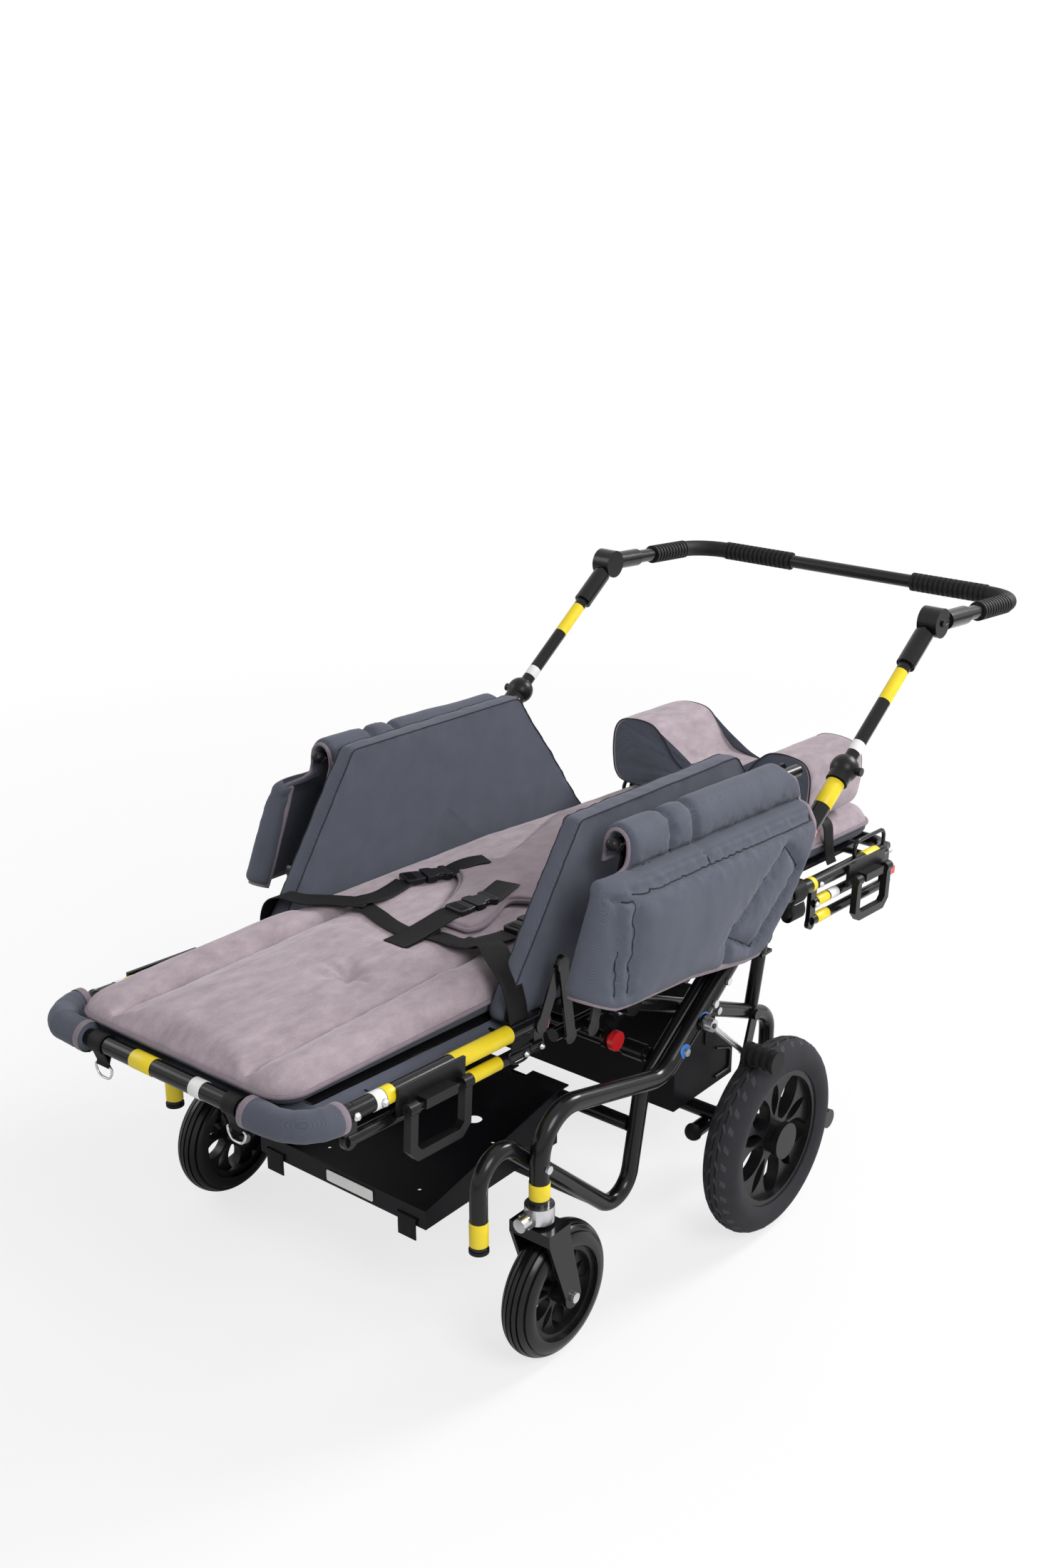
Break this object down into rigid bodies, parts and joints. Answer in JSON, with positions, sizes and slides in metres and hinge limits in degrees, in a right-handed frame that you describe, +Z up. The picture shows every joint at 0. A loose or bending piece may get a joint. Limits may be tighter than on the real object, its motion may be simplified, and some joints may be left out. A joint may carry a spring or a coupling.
{
  "type": "special needs buggy",
  "caption": "Wheeled lying buggy with a padded bed, side cushions, quilted arm panels, headrest, telescopic push bar, swivel casters and an equipment tray.",
  "frame": {"origin": "on the ground under the middle of the whole buggy", "axes": "+Z up, -Y the foot end, +X the user's left"},
  "size_m": [0.878, 1.743, 0.8696],
  "materials": {
    "frame_black": "satin",
    "tray_black": "matt",
    "zinc": "satin",
    "plastic_black": "matt",
    "rubber_black": "matt",
    "tyre_dark": "matt",
    "velour": "velour",
    "cloth_dark": "woven",
    "knob_red": "gloss"
  },
  "bodies": {
    "chassis": {"side_frame_left": "frame_black", "side_frame_right": "frame_black", "loop_tubes": "frame_black", "cross_tubes": "frame_black", "rear_legs": "frame_black", "axle_beam": "frame_black", "prop_posts": "frame_black", "link_plates": "frame_black", "equipment_tray": "tray_black", "equipment_box": "tray_black", "box_bail": "frame_black", "ball_clamps": "plastic_black", "caster_collars": "zinc", "frame_bolts": "zinc", "tube_caps": "rubber_black", "tip_pedals": "frame_black", "brake_mounts": "frame_black"},
    "seat": {"seat_frame": "frame_black", "seat_pad": "velour", "side_cushions": "cloth_dark", "arm_bars": "frame_black", "side_panels": "cloth_dark", "harness_pad": "velour"},
    "back": {"back_frame": "frame_black", "back_pad": "velour", "back_plates": "plastic_black", "back_bails": "frame_black", "chest_pad": "velour"},
    "headrest": {"headrest": "velour"},
    "leg_section": {"leg_frame": "frame_black", "leg_pad": "velour", "leg_plates": "plastic_black", "foot_sleeves": "rubber_black"},
    "handle_slide": {"handle_tubes": "frame_black"},
    "push_bar": {"handle_bar": "frame_black", "handle_grips": "rubber_black"},
    "caster_fork_left": {"caster_fork_left": "frame_black", "caster_axle_left": "zinc"},
    "caster_wheel_left": {"caster_rim_left": "plastic_black", "caster_tyre_left": "tyre_dark"},
    "rear_wheel_left": {"rear_rim_left": "plastic_black", "rear_tyre_left": "tyre_dark"},
    "brake_left": {"brake_lever_left": "zinc", "brake_roller_left": "rubber_black"},
    "lock_knob_left": {"lock_knob_left": "knob_red"},
    "back_grip_left": {"back_grip_left": "plastic_black"},
    "leg_grip_left": {"leg_grip_left": "plastic_black"},
    "caster_fork_right": {"caster_fork_right": "frame_black", "caster_axle_right": "zinc"},
    "caster_wheel_right": {"caster_rim_right": "plastic_black", "caster_tyre_right": "tyre_dark"},
    "rear_wheel_right": {"rear_rim_right": "plastic_black", "rear_tyre_right": "tyre_dark"},
    "brake_right": {"brake_lever_right": "zinc", "brake_roller_right": "rubber_black"},
    "lock_knob_right": {"lock_knob_right": "knob_red"},
    "back_grip_right": {"back_grip_right": "plastic_black"},
    "leg_grip_right": {"leg_grip_right": "plastic_black"}
  },
  "joints": [
    {"name": "caster_swivel_left", "type": "hinge", "parent": "chassis", "child": "caster_fork_left", "pos_m": [0.33, -0.50153, 0.21], "axis": [0, 0, 1], "continuous": true},
    {"name": "caster_roll_left", "type": "hinge", "parent": "caster_fork_left", "child": "caster_wheel_left", "pos_m": [0.33, -0.46953, 0.1], "axis": [1, 0, 0], "continuous": true},
    {"name": "rear_roll_left", "type": "hinge", "parent": "chassis", "child": "rear_wheel_left", "pos_m": [0.393, -0.01653, 0.156], "axis": [1, 0, 0], "continuous": true},
    {"name": "brake_swing_left", "type": "hinge", "parent": "chassis", "child": "brake_left", "pos_m": [0.355, -0.13353, 0.38019], "axis": [1, 0, 0], "range_deg": [0, 35]},
    {"name": "lock_pull_left", "type": "slide", "parent": "seat", "child": "lock_knob_left", "axis": [1, 0, 0], "range_m": [0, 0.01], "stiffness_N_per_m": 800, "springref_m": -0.004},
    {"name": "back_grip_turn_left", "type": "hinge", "parent": "back", "child": "back_grip_left", "pos_m": [0.2733, 0.4982, 0.39043], "axis": [0, -0.9982, 0.0593], "range_deg": [0, 90]},
    {"name": "leg_grip_turn_left", "type": "hinge", "parent": "leg_section", "child": "leg_grip_left", "pos_m": [0.2733, -0.6368, 0.45786], "axis": [0, -0.9982, 0.0593], "range_deg": [0, 90]},
    {"name": "caster_swivel_right", "type": "hinge", "parent": "chassis", "child": "caster_fork_right", "pos_m": [-0.33, -0.50153, 0.21], "axis": [0, 0, 1], "continuous": true},
    {"name": "caster_roll_right", "type": "hinge", "parent": "caster_fork_right", "child": "caster_wheel_right", "pos_m": [-0.33, -0.46953, 0.1], "axis": [1, 0, 0], "continuous": true},
    {"name": "rear_roll_right", "type": "hinge", "parent": "chassis", "child": "rear_wheel_right", "pos_m": [-0.393, -0.01653, 0.156], "axis": [1, 0, 0], "continuous": true},
    {"name": "brake_swing_right", "type": "hinge", "parent": "chassis", "child": "brake_right", "pos_m": [-0.355, -0.13353, 0.38019], "axis": [1, 0, 0], "range_deg": [0, 35]},
    {"name": "lock_pull_right", "type": "slide", "parent": "seat", "child": "lock_knob_right", "axis": [-1, 0, 0], "range_m": [0, 0.01], "stiffness_N_per_m": 800, "springref_m": -0.004},
    {"name": "back_grip_turn_right", "type": "hinge", "parent": "back", "child": "back_grip_right", "pos_m": [-0.2733, 0.4982, 0.39043], "axis": [0, 0.9982, -0.0593], "range_deg": [0, 90]},
    {"name": "leg_grip_turn_right", "type": "hinge", "parent": "leg_section", "child": "leg_grip_right", "pos_m": [-0.2733, -0.6368, 0.45786], "axis": [0, 0.9982, -0.0593], "range_deg": [0, 90]},
    {"name": "seat_tilt", "type": "hinge", "parent": "chassis", "child": "seat", "pos_m": [0, -0.23263, 0.43185], "axis": [1, 0, 0], "range_deg": [0, 6]},
    {"name": "back_recline", "type": "hinge", "parent": "seat", "child": "back", "pos_m": [0, -0.02717, 0.51781], "axis": [1, 0, 0], "range_deg": [0, 75]},
    {"name": "leg_raise", "type": "hinge", "parent": "seat", "child": "leg_section", "pos_m": [0, -0.36857, 0.53809], "axis": [-1, 0, 0], "range_deg": [0, 30]},
    {"name": "headrest_shift", "type": "slide", "parent": "back", "child": "headrest", "axis": [0, 0.9982, -0.0593], "range_m": [0, 0.05]},
    {"name": "handle_telescope", "type": "slide", "parent": "chassis", "child": "handle_slide", "axis": [0, 0.8207, 0.5714], "range_m": [-0.1, 0.08]},
    {"name": "push_bar_angle", "type": "hinge", "parent": "handle_slide", "child": "push_bar", "pos_m": [0, 0.53347, 0.84463], "axis": [1, 0, 0], "range_deg": [-30, 80]}
  ]
}
